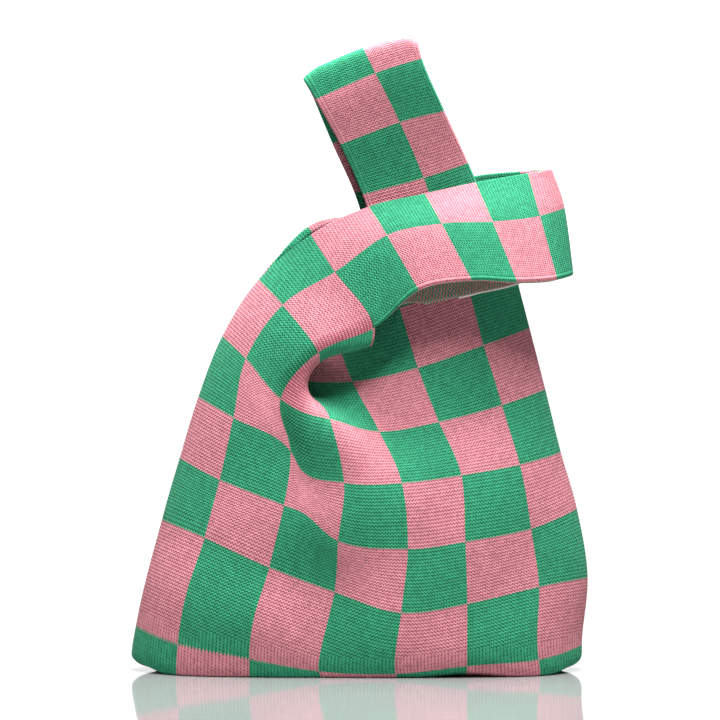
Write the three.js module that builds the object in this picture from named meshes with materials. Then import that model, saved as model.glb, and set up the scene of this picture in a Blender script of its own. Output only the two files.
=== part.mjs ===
// Knitted knot tote: two checker panels linked at the sides and under the base, each running up into
// two half straps. The long handle passes through the loop of the short handle.
// Millimetres, +Z up, front towards -Y. The origin is on the ground under the middle of the bag.
import * as THREE from 'three';

// Driving dimensions
const BAG_WIDTH = 246; // widest place of the body
const BAG_HEIGHT = 342; // ground to the top of the long handle
const BAG_DEPTH = 80; // front to back where the body bulges most
const KNIT = 2.4; // thickness of the double-bed knit
const SEAM_DIAMETER = 3; // linking chain inside the side, base and handle seams
const RIM_DIAMETER = 3; // rolled hem of the mouth
const HEM_WIDTH = 6; // turned edge of a strap
const HEM_KNIT = 1.8; // thickness of the turned edge, pressed flat
const LONG_GAP = 19; // between the middles of the long handle's two layers
const SHORT_FRONT_DEPTH = 25; // middle of the short handle's front band, ahead of the side seams
const SHORT_BACK_DEPTH = 16; // middle of its back band, behind the side seams
const FACING_DROP = 8; // how far the loose facing hangs under the front band
const SEAM_GAP = 1.2; // between the edges of the two panels at a seam
const FIT_GAP = 0.3; // between neighbouring pieces
const RIM_GAP = 0.6; // between a panel and the hem of its rim

// The panels have seven checker columns. Column lines run from 0 at the left seam to 7 at the right one
// on the front, and on from 7 to 14 across the back. Row lines count checker rows up from the base seam.
const COLUMNS = 7;
const ROUND = 2 * COLUMNS;
const MOUTH_ROW = 7;
const SHORT_COLUMNS = [0, 2]; // column lines at the edges of the short handle's strap
const LONG_COLUMNS = [5, 7]; // and of the long handle's
const SEAM_TOP_ROW = 6; // the side seams end here, and the straps part
const FOLD_ROW = 11.6; // the handles fold over here
const LIFT_ROW = 7.9; // above this row the short strap belongs to the loop that rides on the long one
const LEAN_ROW = 9; // above this row the long strap leans
const JOIN_ROW = 12; // the front and back half straps are linked here, just behind the fold

// Crossings of the row and column lines on the front, as [across, ahead, up] at the size of the sample
// bag: 246 wide, 342 tall and 80 deep.
const SAMPLE = new THREE.Vector3(246, 80, 342);
const FRONT_ROWS = [0, 0.5, 0.85, 1, 2, 3, 4, 5, 6, 7];
const FRONT_NET = [
  [
    [-106, 0, 0], [-72, 0, 0], [-40, 0, 0], [-10, 0, 0],
    [22, 0, 0], [54, 0, 0], [84, 0, 0], [106, 0, 0],
  ],
  [
    [-121, 0, 6], [-95, 17, 0], [-57, 19, 0], [-19, 19, 0],
    [20, 20, 0], [56, 19, 0], [93, 17, 0], [117, 0, 5],
  ],
  [
    [-122, 0, 14], [-98, 25, 4], [-59, 32, 0], [-21, 34, 0],
    [20, 34, 0], [57, 33, 0], [96, 27, 2], [119, 0, 10],
  ],
  [
    [-120, 0, 25], [-97, 27, 17], [-59, 36, 8], [-22, 37, 2],
    [19, 38, 2], [57, 37, 4], [96, 30, 8], [119, 0, 15],
  ],
  [
    [-107, 0, 84], [-84, 24, 74], [-50, 34, 59], [-14, 37, 45],
    [23, 38, 33], [57, 36, 39], [97, 25, 48], [122, 0, 52],
  ],
  [
    [-98, 0, 116], [-76, 22, 105], [-41, 33, 92], [-12, 38, 73],
    [26, 37, 68], [56, 34, 73], [91, 23, 79], [118, 0, 88],
  ],
  [
    [-87, 0, 149], [-69, 20, 139], [-37, 30, 119], [-9, 38, 104],
    [22, 32, 104], [54, 28, 108], [85, 20, 113], [108, 0, 120],
  ],
  [
    [-75, 0, 183], [-61, 18, 170], [-43, 27, 149], [-17, 35, 137],
    [10, 22, 131], [42, 20, 137], [76, 15, 146], [100, 0, 154],
  ],
  [
    [-54, 2, 212], [-40, 20, 197], [-23, 30, 174], [-35, 6, 159],
    [-4, 13, 157], [31, 16, 166], [66, 14, 179], [91, 1, 188],
  ],
  [
    [-25, 16, 236], [-12, 24, 217], [8, 28, 187], [-33, -3, 186],
    [-16, -9, 188], [21, 10, 198], [57, 10, 210], [83, 8, 217],
  ],
];
// On the back the two middle lines hang as one outward lip instead of the front's fold, and the shoulder
// stands a little higher. These are [across, up] by row line and column line.
const MIDDLE_LINES = [3, 4];
const BACK_MOVED = {
  5: { 3: [-16, 137], 4: [18, 133] },
  6: { 3: [-11, 155], 4: [25, 152] },
  7: { 0: [-29, 240], 1: [-14, 219], 3: [-2, 178], 4: [31, 183] },
};
const BACK_BULGE = [0, 19, 33, 37, 38, 38, 37, 35]; // behind the seams, by row line up to row 5
const BACK_PROFILE = [0, 0.68, 0.92, 1, 1, 0.95, 0.72, 0]; // share of that bulge, by column line
const BACK_TOP = {
  6: [2, 16, 24, 32, 31, 22, 15, 1],
  7: [10, 14, 17, 32, 31, 11, 10, 8],
};

// Crossings on the straps above the mouth, as [across, up], one list a row line
const STRAP_ROWS = [8, 9, 10, 11, FOLD_ROW];
const SHORT_NET = [
  [[5, 251], [15, 236], [32, 207]],
  [[35, 258], [44, 242], [60, 212]],
  [[62, 264], [71, 243], [84, 211]],
  [[90, 269], [96, 246], [105, 212]],
  [[102, 271], [109, 250], [114, 214]],
];
const SHORT_BEND = [0.96, 1, 0.92, 0.6, 0]; // share of the band's depth kept on the way round the end
const SHORT_SHIFT = [4, 4, 3.5, 2.5, 0]; // how far its back layer lies to the left of the front one
const SHORT_LIFT = [-3.5, -1, 2.5, 1, 0]; // and how far above it
const SHORT_FLARE = [-9, 2, 8]; // how much further ahead its front layer stands, by column line
const LONG_NET = [
  [[11, 226], [44, 237], [71, 245]],
  [[1, 258], [34, 267], [58, 275]],
  [[-11, 285], [21, 297], [45, 303]],
  [[-24, 309], [8, 323], [33, 331]],
  [[-30, 319], [2, 335], [31, 341]],
];
const LONG_BEND = [0.9, 0.95, 1, 0.97, 0];
const LONG_SHIFT = [3.5, 4, 4, 1, 0];
const LONG_AHEAD = [0, 0, 6, 12, 20]; // how far the long handle leans ahead

// Grid steps of the solids
const EDGE_COLUMNS = [0, 0.1, 0.25]; // closer where a panel turns at a side seam
const COLUMN_STEP = 0.5;
const FOLD_COLUMN_STEP = 0.25; // closer across the fold of the mouth
const PANEL_ROW_STEP = 0.4;
const STRAP_ROW_STEPS = 12;
const ROOT_ROW_STEPS = 5;
const TUBE_SIDES = 8;
const SLOPE_STEP = 0.004; // of a row or column, for slopes

const scaleX = BAG_WIDTH / SAMPLE.x;
const scaleY = BAG_DEPTH / SAMPLE.y;
const scaleZ = BAG_HEIGHT / SAMPLE.z;
const { lerp } = THREE.MathUtils;

function place(across, behind, up) {
  return new THREE.Vector3(across * scaleX, behind, up * scaleZ);
}

function stations(first, last, steps) {
  return [...Array(steps + 1).keys()].map((k) => lerp(first, last, k / steps));
}

// A smooth curve through points at uneven knots, with given or free end slopes
function slopeAt(points, knots, i) {
  const before = Math.max(i - 1, 0);
  const after = Math.min(i + 1, points.length - 1);
  if (before === i || after === i) {
    return points[after].clone().sub(points[before]).divideScalar(knots[after] - knots[before]);
  }
  const back = knots[i] - knots[before];
  const on = knots[after] - knots[i];
  const slopeBack = points[i].clone().sub(points[before]).divideScalar(back);
  const slopeOn = points[after].clone().sub(points[i]).divideScalar(on);
  return slopeBack.multiplyScalar(on).addScaledVector(slopeOn, back).divideScalar(back + on);
}

function curvePoint(points, knots, t, endSlopes = {}) {
  const last = points.length - 1;
  let i = 0;
  while (i < last - 1 && t > knots[i + 1]) i += 1;
  const span = knots[i + 1] - knots[i];
  const s = (t - knots[i]) / span;
  const start = i === 0 && endSlopes.start ? endSlopes.start : slopeAt(points, knots, i);
  const end = i + 1 === last && endSlopes.end ? endSlopes.end : slopeAt(points, knots, i + 1);
  const s2 = s * s;
  const s3 = s2 * s;
  return points[i].clone().multiplyScalar(2 * s3 - 3 * s2 + 1)
    .addScaledVector(start, (s3 - 2 * s2 + s) * span)
    .addScaledVector(points[i + 1], 3 * s2 - 2 * s3)
    .addScaledVector(end, (s3 - s2) * span);
}

// Strap rows in millimetres. The back layer has the same outline, set a little to the left and up or down.
const shortStrap = {
  columns: SHORT_COLUMNS,
  net: SHORT_NET,
  bend: SHORT_BEND,
  depths: [-SHORT_FRONT_DEPTH, SHORT_BACK_DEPTH],
  ahead: SHORT_NET.map(() => 0),
  shift: SHORT_SHIFT,
  lift: SHORT_LIFT,
  flare: SHORT_FLARE,
};
const longStrap = {
  columns: LONG_COLUMNS,
  net: LONG_NET,
  bend: LONG_BEND,
  depths: [-LONG_GAP / 2, LONG_GAP / 2],
  ahead: LONG_AHEAD,
  shift: LONG_SHIFT,
  lift: LONG_NET.map(() => 0),
  flare: LONG_NET[0].map(() => 0),
};
function strapRow({ net, bend, depths: [front, back], ahead, shift, lift, flare }, j, side) {
  const depth = (front + back) / 2 + (side * (back - front) * bend[j]) / 2 - ahead[j] * scaleY;
  return net[j].map(([x, z], i) => {
    const point = place(x, depth, z);
    if (side > 0) {
      point.x -= shift[j];
      point.z += lift[j];
    } else {
      point.y -= flare[i] * bend[j];
    }
    return point;
  });
}

// Panel nets in millimetres: one list of points a row line, from column line 0 to 7. The first row of the
// straps is added above the mouth, so that the panels run on into the straps without a kink.
const frontNet = FRONT_NET.map((row) => row.map(([x, ahead, z]) => place(x, -ahead * scaleY, z)));
const backNet = FRONT_NET.map((row, j) => row.map(([x, , z], i) => {
  const line = FRONT_ROWS[j];
  const [across, up] = (BACK_MOVED[line] && BACK_MOVED[line][i]) || [x, z];
  const behind = BACK_TOP[line] ? BACK_TOP[line][i] : BACK_BULGE[j] * BACK_PROFILE[i];
  return place(across, behind * scaleY, up);
}));
function strapRowAbove(net, side) {
  const short = strapRow(shortStrap, 0, side);
  const long = strapRow(longStrap, 0, side);
  const [below, top] = net.slice(-2);
  const between = MIDDLE_LINES.map((i) => top[i].clone().multiplyScalar(2).sub(below[i]));
  return [...short, ...between, ...long];
}
frontNet.push(strapRowAbove(frontNet, -1));
backNet.push(strapRowAbove(backNet, 1));
const PANEL_KNOTS = [...FRONT_ROWS, STRAP_ROWS[0]];
const COLUMN_KNOTS = stations(0, COLUMNS, COLUMNS);

// Below the straps the two panels meet at the seams in one round turn, so a row line crosses the seam
// straight from front to back. Nothing turns at the base seam or above the side seams.
const turns = (line) => line > 0 && line <= SEAM_TOP_ROW;

function panelRow(net, side, j, c) {
  const slopes = {};
  if (turns(PANEL_KNOTS[j])) {
    slopes.start = new THREE.Vector3(0, net[j][1].y, 0);
    slopes.end = new THREE.Vector3(0, -net[j][COLUMNS - 1].y, 0);
  }
  const point = curvePoint(net[j], COLUMN_KNOTS, c, slopes);
  point.y += (side * SEAM_GAP) / 2;
  return point;
}

function panelPoint(net, side, c, r) {
  const crossings = net.map((_, j) => panelRow(net, side, j, c));
  const point = curvePoint(crossings, PANEL_KNOTS, r);
  point.z = Math.max(point.z, KNIT / 2);
  return point;
}

// Surfaces by column and row, seen from outside with columns to the right and rows up
const frontPanel = (c, r) => panelPoint(frontNet, -1, c, r);
const backPanel = (c, r) => panelPoint(backNet, 1, ROUND - c, r);

// A strap loop runs from the front of the mouth over its fold to the back of the mouth. Its row lines go on
// counting over the fold.
const LOOP_END = 2 * JOIN_ROW - MOUTH_ROW;
const backRow = (row) => lerp(FOLD_ROW, LOOP_END, (FOLD_ROW - row) / (FOLD_ROW - MOUTH_ROW));

function loopSurface(strap) {
  const [first, last] = strap.columns;
  const lines = [first, first + 1, last];
  const mouth = FRONT_ROWS.indexOf(MOUTH_ROW);
  const tip = STRAP_ROWS.length - 1;
  const knots = [MOUTH_ROW - 1, MOUTH_ROW, ...STRAP_ROWS];
  const rows = [mouth - 1, mouth].map((j) => (c) => panelRow(frontNet, -1, j, c));
  const addRow = (points) => rows.push((c) => curvePoint(points, lines, c));
  STRAP_ROWS.forEach((_, j) => addRow(strapRow(strap, j, -1)));
  for (let j = tip - 1; j >= 0; j -= 1) {
    knots.push(backRow(STRAP_ROWS[j]));
    addRow(strapRow(strap, j, 1));
  }
  [mouth, mouth - 1].forEach((j) => {
    knots.push(backRow(FRONT_ROWS[j]));
    rows.push((c) => panelRow(backNet, 1, j, c));
  });
  return (c, v) => curvePoint(rows.map((row) => row(c)), knots, v);
}
const shortLoop = loopSurface(shortStrap);
const longLoop = loopSurface(longStrap);

function outward(surface, c, r) {
  const across = surface(c + SLOPE_STEP, r).sub(surface(c - SLOPE_STEP, r));
  const up = surface(c, r + SLOPE_STEP).sub(surface(c, r - SLOPE_STEP));
  return across.cross(up).normalize();
}

// A sheet of one thickness that follows a surface over a grid of columns and rows. A positive offset moves
// it out from the surface. Nothing reaches below the ground.
function sheetSolid(surface, columns, rows, thickness, offset = 0) {
  const position = [];
  const index = [];
  for (const layer of [offset + thickness / 2, offset - thickness / 2]) {
    for (const r of rows) {
      for (const c of columns) {
        const point = surface(c, r).addScaledVector(outward(surface, c, r), layer);
        position.push(point.x, point.y, Math.max(point.z, 0));
      }
    }
  }
  const nc = columns.length - 1;
  const nr = rows.length - 1;
  const inner = columns.length * rows.length;
  const at = (i, j) => j * columns.length + i;
  const quad = (a, b, c, d) => index.push(a, b, c, a, c, d);
  for (let j = 0; j < nr; j += 1) {
    for (let i = 0; i < nc; i += 1) {
      quad(at(i, j), at(i + 1, j), at(i + 1, j + 1), at(i, j + 1));
      quad(inner + at(i, j), inner + at(i, j + 1), inner + at(i + 1, j + 1), inner + at(i + 1, j));
    }
  }
  for (let i = 0; i < nc; i += 1) {
    quad(inner + at(i, 0), inner + at(i + 1, 0), at(i + 1, 0), at(i, 0));
    quad(at(i, nr), at(i + 1, nr), inner + at(i + 1, nr), inner + at(i, nr));
  }
  for (let j = 0; j < nr; j += 1) {
    quad(at(0, j), at(0, j + 1), inner + at(0, j + 1), inner + at(0, j));
    quad(inner + at(nc, j), inner + at(nc, j + 1), at(nc, j + 1), at(nc, j));
  }
  const geometry = new THREE.BufferGeometry();
  geometry.setAttribute('position', new THREE.Float32BufferAttribute(position, 3));
  geometry.setIndex(index);
  geometry.computeVertexNormals();
  return geometry;
}

function seamSolid(points) {
  const section = new THREE.Shape();
  section.absarc(0, 0, SEAM_DIAMETER / 2, 0, 2 * Math.PI);
  const path = new THREE.CatmullRomCurve3(points);
  return new THREE.ExtrudeGeometry(section, {
    steps: points.length - 1,
    curveSegments: TUBE_SIDES,
    extrudePath: path,
  });
}

// Points along lines of a surface, set off inwards so that a seam lies against the knit
const SEAM_INSET = KNIT / 2 + FIT_GAP + SEAM_DIAMETER / 2;
function insideLine(surface, crossings) {
  return crossings.map(([c, r]) => surface(c, r).addScaledVector(outward(surface, c, r), -SEAM_INSET));
}

const green = { color: 0x3d9a70, roughness: 0.95, metalness: 0 };
const pink = { color: 0xd98b98, roughness: 0.95, metalness: 0 };
const bag = new THREE.Group();
function addPiece(name, geometry, look) {
  const mesh = new THREE.Mesh(geometry, new THREE.MeshStandardMaterial(look));
  mesh.name = name;
  bag.add(mesh);
}

// Panels
const every = (first, last, step) => stations(first, last, Math.round((last - first) / step));
const [foldStart, foldEnd] = [SHORT_COLUMNS[1], LONG_COLUMNS[0] - 1];
const frontColumns = [
  ...EDGE_COLUMNS,
  ...every(COLUMN_STEP, foldStart - COLUMN_STEP, COLUMN_STEP),
  ...every(foldStart, foldEnd, FOLD_COLUMN_STEP),
  ...every(foldEnd + COLUMN_STEP, COLUMNS - COLUMN_STEP, COLUMN_STEP),
  ...EDGE_COLUMNS.map((c) => COLUMNS - c).reverse(),
];
const backColumns = frontColumns.map((c) => ROUND - c).reverse();
const baseRows = FRONT_ROWS.filter((r) => r <= 1);
const panelRows = [
  ...baseRows.flatMap((r, j) => (j ? [(baseRows[j - 1] + r) / 2, r] : [r])),
  ...every(1, MOUTH_ROW, PANEL_ROW_STEP).slice(1),
];
addPiece('front_panel', sheetSolid(frontPanel, frontColumns, panelRows, KNIT), green);
addPiece('back_panel', sheetSolid(backPanel, backColumns, panelRows, KNIT), green);

// Seams inside the bag, along the side edges and the middle of the base
const SIDE_SEAM_ROWS = every(1, SEAM_TOP_ROW, PANEL_ROW_STEP);
const BASE_SEAM_COLUMNS = every(1, COLUMNS - 1, COLUMN_STEP);
const sideSeam = (column) => seamSolid(insideLine(frontPanel, SIDE_SEAM_ROWS.map((r) => [column, r])));
addPiece('side_seam_left', sideSeam(0), pink);
addPiece('side_seam_right', sideSeam(COLUMNS), pink);
addPiece('base_seam', seamSolid(insideLine(frontPanel, BASE_SEAM_COLUMNS.map((c) => [c, 0]))), pink);

// The row that lies a distance above a row line, measured along one column
function rowAbove(surface, column, row, distance) {
  const slope = surface(column, row + SLOPE_STEP).distanceTo(surface(column, row)) / SLOPE_STEP;
  return row + distance / slope;
}

// Rolled hems on the rim of the mouth, between the straps
const isRim = (c) => c > SHORT_COLUMNS[1] && c < LONG_COLUMNS[0];
function rimHem(surface, columns, middle) {
  const rows = [RIM_GAP, RIM_GAP + RIM_DIAMETER].map((d) => rowAbove(surface, middle, MOUTH_ROW, d));
  return sheetSolid(surface, columns, rows, RIM_DIAMETER);
}
addPiece('mouth_hem_front', rimHem(frontPanel, frontColumns.filter(isRim), SHORT_COLUMNS[1]), green);
const backRim = backColumns.filter((c) => isRim(ROUND - c));
addPiece('mouth_hem_back', rimHem(backPanel, backRim, ROUND - LONG_COLUMNS[0]), pink);

// Straps. Each half is cut where it starts to move, and its neighbours keep the fit gap.
function trimmed(surface, columns, [low, high]) {
  const middle = (columns[0] + columns[1]) / 2;
  return [rowAbove(surface, middle, low, FIT_GAP), rowAbove(surface, middle, high, -FIT_GAP)];
}
function hemLines(surface, [first, last]) {
  const strapWidth = surface(first, LEAN_ROW).distanceTo(surface(last, LEAN_ROW));
  const hem = (HEM_WIDTH * (last - first)) / strapWidth;
  return [first + hem, last - hem];
}
function strapPiece(surface, columns, [low, high], steps) {
  const rows = stations(...trimmed(surface, columns, [low, high]), steps);
  const lines = [...every(...columns, COLUMN_STEP), ...hemLines(surface, columns)].sort((a, b) => a - b);
  return sheetSolid(surface, lines, rows, KNIT);
}
const shortFront = [LIFT_ROW, JOIN_ROW];
const shortBack = [JOIN_ROW, backRow(LIFT_ROW)];
const longFront = [LEAN_ROW, JOIN_ROW];
const longBack = [JOIN_ROW, backRow(LEAN_ROW)];
const straps = [
  ['short_strap_root_front', shortLoop, SHORT_COLUMNS, [MOUTH_ROW, LIFT_ROW], ROOT_ROW_STEPS, pink],
  ['short_strap_root_back', shortLoop, SHORT_COLUMNS, [backRow(LIFT_ROW), LOOP_END], ROOT_ROW_STEPS, pink],
  ['short_handle_front', shortLoop, SHORT_COLUMNS, shortFront, STRAP_ROW_STEPS, pink],
  ['short_handle_back', shortLoop, SHORT_COLUMNS, shortBack, STRAP_ROW_STEPS, pink],
  ['long_strap_root_front', longLoop, LONG_COLUMNS, [MOUTH_ROW, LEAN_ROW], ROOT_ROW_STEPS, green],
  ['long_strap_root_back', longLoop, LONG_COLUMNS, [backRow(LEAN_ROW), LOOP_END], ROOT_ROW_STEPS, green],
  ['long_handle_front', longLoop, LONG_COLUMNS, longFront, STRAP_ROW_STEPS, green],
  ['long_handle_back', longLoop, LONG_COLUMNS, longBack, STRAP_ROW_STEPS, green],
];
for (const [name, surface, columns, rows, steps, look] of straps) {
  addPiece(name, strapPiece(surface, columns, rows, steps), look);
}

// Turned hems along both edges of each handle half, and the linking seam across the join, all on the
// inner face
const hemOffset = -(KNIT / 2 + FIT_GAP + HEM_KNIT / 2);
const JOIN_STEPS = 6;
const shortHalves = { front: shortFront, back: shortBack };
const longHalves = { front: longFront, back: longBack };
const handles = [
  ['short_handle', shortLoop, SHORT_COLUMNS, shortHalves, ['upper', 'lower'], green],
  ['long_handle', longLoop, LONG_COLUMNS, longHalves, ['left', 'right'], pink],
];
for (const [name, surface, columns, halves, edges, look] of handles) {
  const inner = hemLines(surface, columns);
  const hemColumns = [[columns[0], inner[0]], [inner[1], columns[1]]];
  for (const [half, [low, high]] of Object.entries(halves)) {
    const rows = stations(...trimmed(surface, columns, [low, high]), STRAP_ROW_STEPS);
    const free = half === 'front' ? rows.slice(0, -1) : rows.slice(1);
    edges.forEach((edge, k) => {
      const strip = sheetSolid(surface, hemColumns[k], free, HEM_KNIT, hemOffset);
      addPiece(`${name}_${half}_hem_${edge}`, strip, look);
    });
  }
  const joinColumns = stations(...inner, JOIN_STEPS);
  const joinLine = insideLine(surface, joinColumns.map((c) => [c, JOIN_ROW]));
  addPiece(`${name}_join_seam`, seamSolid(joinLine), look);
}

// Loose facing behind the lower edge of the short handle's front band
const FACING_COLUMNS = [1.6, 2]; // the stretch of the band that backs it
const FACING_ROWS = [8.1, 10.2];
const FACING_STEPS = [3, 8]; // down it and along it
const FACING_GAP = 2 * FIT_GAP; // behind the hem of the band
const FACING_SETBACK = KNIT / 2 + FIT_GAP + HEM_KNIT + FACING_GAP + HEM_KNIT / 2;
function facingSurface(c, v) {
  const along = (v - FACING_ROWS[0]) / (FACING_ROWS[1] - FACING_ROWS[0]);
  const down = (c - FACING_COLUMNS[0]) / (FACING_COLUMNS[1] - FACING_COLUMNS[0]);
  const drop = FACING_DROP * Math.cos((along * Math.PI) / 2);
  return shortLoop(c, v).add(new THREE.Vector3(0, FACING_SETBACK, -drop * down));
}
const facingColumns = stations(...FACING_COLUMNS, FACING_STEPS[0]);
const facingRows = stations(...FACING_ROWS, FACING_STEPS[1]);
addPiece('short_handle_facing', sheetSolid(facingSurface, facingColumns, facingRows, HEM_KNIT), pink);

export default bag;
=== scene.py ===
"""Knitted knot tote on a pale floor: panels, straps, hems, rims and seams as sheets and yarn."""

import math

import bpy
import numpy as np
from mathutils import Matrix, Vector


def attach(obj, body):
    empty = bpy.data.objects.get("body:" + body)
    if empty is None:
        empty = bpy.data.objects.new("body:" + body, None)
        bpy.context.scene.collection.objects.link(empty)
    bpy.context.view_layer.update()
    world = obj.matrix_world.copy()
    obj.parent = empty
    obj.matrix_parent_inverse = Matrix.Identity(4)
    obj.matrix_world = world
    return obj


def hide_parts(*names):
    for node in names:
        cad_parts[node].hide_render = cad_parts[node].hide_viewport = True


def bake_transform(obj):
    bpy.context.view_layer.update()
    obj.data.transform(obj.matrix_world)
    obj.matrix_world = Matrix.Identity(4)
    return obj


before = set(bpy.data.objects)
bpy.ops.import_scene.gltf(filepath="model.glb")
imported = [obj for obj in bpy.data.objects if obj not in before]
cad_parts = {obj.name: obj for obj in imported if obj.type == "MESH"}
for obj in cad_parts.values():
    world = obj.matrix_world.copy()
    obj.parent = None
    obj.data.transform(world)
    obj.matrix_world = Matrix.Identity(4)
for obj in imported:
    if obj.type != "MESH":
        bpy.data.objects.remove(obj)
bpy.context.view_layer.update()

# Sizes of the bag in millimetres, as in the part's source where no comment says otherwise
KNIT = 2.4  # thickness of the cloth
SEAM_DIAMETER = 3.0  # linking chain inside the seams
RIM_DIAMETER = 2.2  # hem of the mouth, rolled tighter than its solid
HEM_WIDTH = 6.0  # turned edge of a strap
HEM_KNIT = 1.8  # thickness of the turned edge, pressed flat
LONG_GAP = 19.0  # between the middles of the long handle's two layers
SHORT_FRONT_DEPTH = 25.0  # middle of the short handle's front band, ahead of the side seams
SHORT_BACK_DEPTH = 16.0  # middle of its back band, behind the side seams
FACING_DROP = 8.0  # how far the facing's solid hangs under the front band
FIT_GAP = 0.3  # between neighbouring pieces
SEAM_GAP = 0.4  # between the panels at a seam, closer than their solids
METRES = 0.001  # in a millimetre

# Stitches of a checker square, and the size that one was knitted to
WALES = 21
STRAP_WALES = 17.5  # the rest is turned under at the edge
COURSES = 19
BASE_COURSES = [10.4, 8.2, 4.4]  # of the first row of squares, between its lines under the base
TALL_COURSES = 33  # the second row of squares is taller
COURSE = 1.83
STITCH_SLANT = 0.46  # of a course, from the middle of a stitch to its side
HEM_WALES = 1.8  # stitches of the turned edge that show as ribs

# Lines of the checker, counted from the left side seam and from the base seam
COLUMNS = 7
ROUND = 2 * COLUMNS
STRAP_COLUMNS = 2
SHORT_COLUMNS = (0, STRAP_COLUMNS)
LONG_COLUMNS = (COLUMNS - STRAP_COLUMNS, COLUMNS)
SECOND_ROW = 1
THIRD_ROW = 2
SEAM_TOP_ROW = 6  # where the side seams end
MOUTH_ROW = 7
FOLD_ROW = 11.6  # where a strap turns back
JOIN_ROW = 12  # where its two halves are linked

# Crossings of row and column lines on the front: across, ahead, up
FRONT_ROWS = [0, 0.5, 0.85, 1, 2, 3, 4, 5, 6, 7]
FRONT_NET = [
    [
        [-106, 0, 0], [-72, 0, 0], [-40, 0, 0], [-10, 0, 0],
        [22, 0, 0], [54, 0, 0], [84, 0, 0], [106, 0, 0],
    ],
    [
        [-121, 0, 6], [-95, 17, 0], [-57, 19, 0], [-19, 19, 0],
        [20, 20, 0], [56, 19, 0], [93, 17, 0], [117, 0, 5],
    ],
    [
        [-122, 0, 14], [-98, 26.5, 4], [-59, 34, 0], [-21, 36, 1.5],
        [20, 36, 0], [57, 35, 4], [96, 29, 2], [119, 0, 10],
    ],
    [
        [-120, 0, 25], [-97, 27, 18], [-59, 36, 11], [-22, 37, 4],
        [19, 38, 3], [57, 37, 7], [95, 30, 9.5], [119, 0, 14.5],
    ],
    [
        [-105.7, 0, 82.2], [-82.6, 24, 74.4], [-48.3, 34, 59.5], [-13.5, 37, 46.4],
        [22, 38, 35.5], [57, 36, 40], [95.5, 25, 48], [122, 0, 51],
    ],
    [
        [-96.1, 0, 115.5], [-74.6, 22, 105.3], [-40.3, 33, 92.5], [-11.5, 38, 74],
        [25.5, 37, 69.5], [56, 34, 73], [91, 23, 79], [116, 0, 88],
    ],
    [
        [-86, 0, 148.3], [-67, 20, 138.4], [-37, 30, 121.3], [-8.5, 38, 105],
        [22, 32, 104], [54, 28, 108], [85, 20, 113], [107.2, 0, 118.5],
    ],
    [
        [-73, 0, 181], [-60.6, 18, 170], [-42, 27, 149], [-17, 32, 137],
        [10, 22, 131], [42, 20, 136], [76, 15, 145], [98.8, 0, 152.5],
    ],
    [
        [-53.4, 2, 211.2], [-40.6, 20, 198.6], [-22, 30, 174], [-35, 10, 159],
        [-4, 13, 157], [31, 16, 165], [66, 14, 177], [90.3, 1, 185.5],
    ],
    [
        [-25, 16, 237], [-12, 24, 217], [8, 28, 187], [-33, -3, 186],
        [-16, -9, 188], [21, 10, 198], [57, 10, 210], [83, 8, 217],
    ],
]
# The front has one more column line, where the cloth by the short strap turns down over its fold.
LIP_LINE = 2.3
FRONT_LIP = {3: [-31, 34.5, 89], 4: [-31, 32, 111], 6: [-22, 28, 169.5], 7: [6, 26.5, 178]}
# The back has an outward lip where the front has its fold, and a higher shoulder: across, up.
BACK_MOVED = {
    5: {3: [-16, 137], 4: [18, 133]},
    6: {3: [-11, 155], 4: [25, 152]},
    7: {0: [-29, 240], 1: [-14, 219], 3: [-2, 178], 4: [31, 183]},
}
# How far the back bulges: at each row line, the share of that at each column line, and at the crossings
# of the two rows at the top
BACK_BULGE = [0, 19, 33, 37, 38, 38, 37, 35]
BACK_PROFILE = [0, 0.68, 0.92, 1, 1, 0.95, 0.72, 0]
BACK_TOP = {6: [2, 16, 24, 32, 31, 22, 15, 1], 7: [10, 14, 17, 32, 31, 11, 10, 8]}

# Crossings on the straps: across, up
STRAP_ROWS = [8, 9, 10, 11, FOLD_ROW]
SHORT_NET = [
    [[5, 251], [15, 236], [32, 207]],
    [[35, 258], [44, 242], [60, 212]],
    [[62, 264], [71, 243], [84, 211]],
    [[90, 269], [96, 246], [105, 212]],
    [[102, 271], [109, 250], [114, 214]],
]
# By row: the share of the depth between the layers, how far the back layer lies to the left and above, and
# how far both lie ahead. By column: how far the front band flares.
SHORT_BEND = [0.96, 1, 0.92, 0.6, 0]
SHORT_SHIFT = [4, 4, 3.5, 2.5, 0]
SHORT_LIFT = [-3.5, -1, 2.5, 1, 0]
SHORT_FLARE = [-9, 2, 8]
LONG_NET = [
    [[11, 226], [44, 237], [71, 245]],
    [[1, 258], [34, 267], [58, 275]],
    [[-11, 285], [21, 297], [45, 303]],
    [[-24, 309], [8, 323], [33, 331]],
    [[-30, 321.5], [2, 335], [31, 343]],
]
LONG_BEND = [0.9, 0.95, 1, 0.97, 0]
LONG_SHIFT = [3.5, 4, 4, 1, 0]
LONG_AHEAD = [0, 0, 6, 12, 20]


# Smooth curves through points at uneven knots
def knot_slopes(points, knots):
    """Slopes at the knots, each from the two spans beside it."""
    steps = np.diff(knots)[:, None, None]
    slopes = np.diff(points, axis=0) / steps
    middle = (slopes[:-1] * steps[1:] + slopes[1:] * steps[:-1]) / (steps[1:] + steps[:-1])
    return np.concatenate([slopes[:1], middle, slopes[-1:]])


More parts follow.
